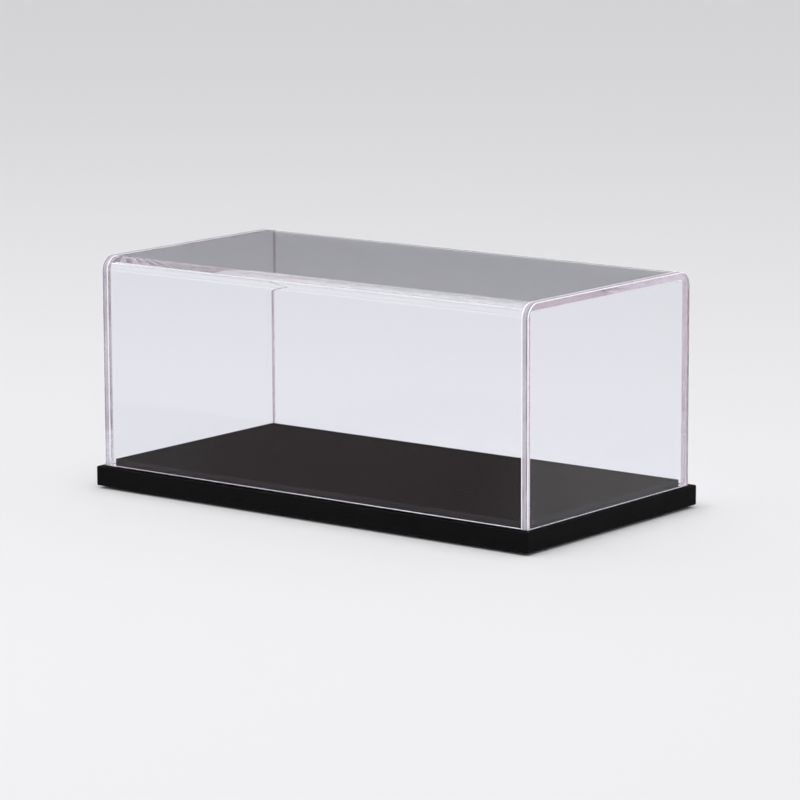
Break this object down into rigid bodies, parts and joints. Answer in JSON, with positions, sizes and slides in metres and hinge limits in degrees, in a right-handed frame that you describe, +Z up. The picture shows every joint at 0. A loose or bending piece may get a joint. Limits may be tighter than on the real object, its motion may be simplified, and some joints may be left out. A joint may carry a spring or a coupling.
{
  "type": "display case",
  "caption": "Low rectangular display case for a small scale model: a clear lift-off cover over a black stepped base.",
  "frame": {"origin": "on the surface the case stands on, under the middle of its base", "axes": "+X along the long side towards the right end, -Y out of the front, +Z up, the way the cover lifts"},
  "size_m": [0.218, 0.1144, 0.0954],
  "materials": {
    "clear_acrylic": "clear, polished",
    "board_black": "satin black",
    "deck_black": "fine satin black",
    "foot_rubber": "matte"
  },
  "bodies": {
    "base": {"base_board": "board_black", "deck_board": "deck_black", "foot_front_left": "foot_rubber", "foot_front_right": "foot_rubber", "foot_back_left": "foot_rubber", "foot_back_right": "foot_rubber"},
    "cover": {"cover_wrap": "clear_acrylic", "cover_end_left": "clear_acrylic", "cover_end_right": "clear_acrylic"}
  },
  "joints": [
    {"name": "cover_lift", "type": "slide", "parent": "base", "child": "cover", "axis": [0, 0, 1], "range_m": [0, 0.1]}
  ]
}
